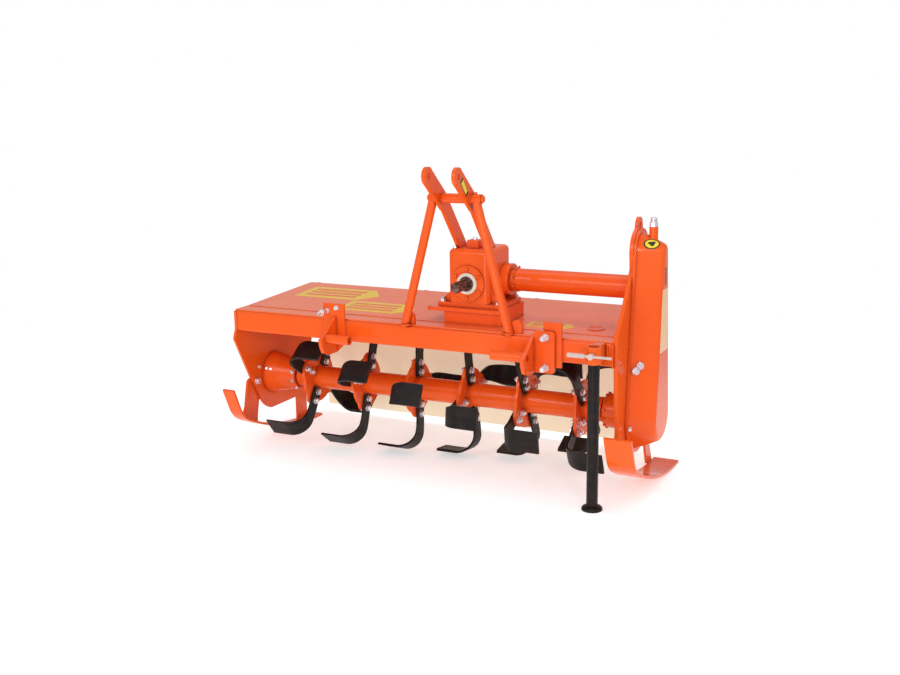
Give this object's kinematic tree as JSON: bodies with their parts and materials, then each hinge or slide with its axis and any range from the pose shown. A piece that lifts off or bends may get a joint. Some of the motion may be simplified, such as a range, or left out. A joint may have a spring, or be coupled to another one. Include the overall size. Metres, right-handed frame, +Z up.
{
  "type": "tractor-mounted rotary tiller (rotavator)",
  "caption": "Rotary tiller for a tractor's three-point hitch, with a gearbox, side gear case, bladed rotor under a flat hood, trailing board, skids and parking stand.",
  "frame": {"origin": "on the floor, at the middle of the machine's overall length and depth; the rotor's axis is 236 mm straight above it", "axes": "+X along the rotor towards the gear case, -Y towards the tractor, +Z up"},
  "size_m": [1.496, 0.656, 1.02],
  "materials": {
    "orange_paint": "gloss enamel, a little worn at the edges",
    "cream_paint": "satin enamel",
    "black_paint": "satin black enamel, worn",
    "blade_steel": "dipped black, slightly glossy",
    "zinc_steel": "bright zinc plate",
    "shaft_steel": "oiled, lightly rusted steel",
    "pale_seal": "matt"
  },
  "bodies": {
    "frame": {"board_hinge_lugs": "orange_paint", "case_breather": "zinc_steel", "deck_sheet": "orange_paint", "front_beam": "orange_paint", "gear_case": "orange_paint", "gearbox_housing": "orange_paint", "gearbox_lid": "orange_paint", "gearbox_pedestal": "orange_paint", "hinge_rod": "zinc_steel", "input_cap": "orange_paint", "input_seal": "pale_seal", "left_bearing_cap": "orange_paint", "left_bearing_hub": "orange_paint", "left_side_plate": "orange_paint", "left_skid_runner": "orange_paint", "left_skid_struts": "orange_paint", "lifting_eye": "orange_paint", "link_base_plate_left": "orange_paint", "link_base_plate_right": "orange_paint", "link_bracket_left": "orange_paint", "link_bracket_right": "orange_paint", "mast_bar_left": "orange_paint", "mast_bar_right": "orange_paint", "mast_cross_tube": "orange_paint", "mast_strut_left": "orange_paint", "mast_strut_right": "orange_paint", "right_bearing_boss": "orange_paint", "right_side_plate": "orange_paint", "right_skid_runner": "orange_paint", "right_skid_struts": "orange_paint", "side_tube": "orange_paint", "stand_clamp": "zinc_steel", "stand_socket": "orange_paint", "strut_lug_left": "orange_paint", "strut_lug_right": "orange_paint"},
    "rotor": {"blades_1": "blade_steel", "blades_2": "blade_steel", "blades_3": "blade_steel", "blades_4": "blade_steel", "blades_5": "blade_steel", "blades_6": "blade_steel", "rotor_flanges": "orange_paint", "rotor_tube": "orange_paint"},
    "input_shaft": {"input_shaft": "shaft_steel"},
    "trailing_board": {"trailing_board": "cream_paint"},
    "parking_stand": {"stand_leg": "black_paint"}
  },
  "joints": [
    {"name": "rotor_spin", "type": "hinge", "parent": "frame", "child": "rotor", "pos_m": [0, 0, 0.236], "axis": [1, 0, 0], "continuous": true},
    {"name": "input_spin", "type": "hinge", "parent": "frame", "child": "input_shaft", "pos_m": [0.139, -0.15, 0.64], "axis": [0, 1, 0], "continuous": true},
    {"name": "board_hinge", "type": "hinge", "parent": "frame", "child": "trailing_board", "pos_m": [0, 0.298, 0.51], "axis": [1, 0, 0], "range_deg": [0, 65]},
    {"name": "stand_slide", "type": "slide", "parent": "frame", "child": "parking_stand", "axis": [0, 0, 1], "range_m": [0, 0.2]}
  ],
  "couplings": [
    {"joint": "input_spin", "follows": "rotor_spin", "ratio": 2.57}
  ]
}
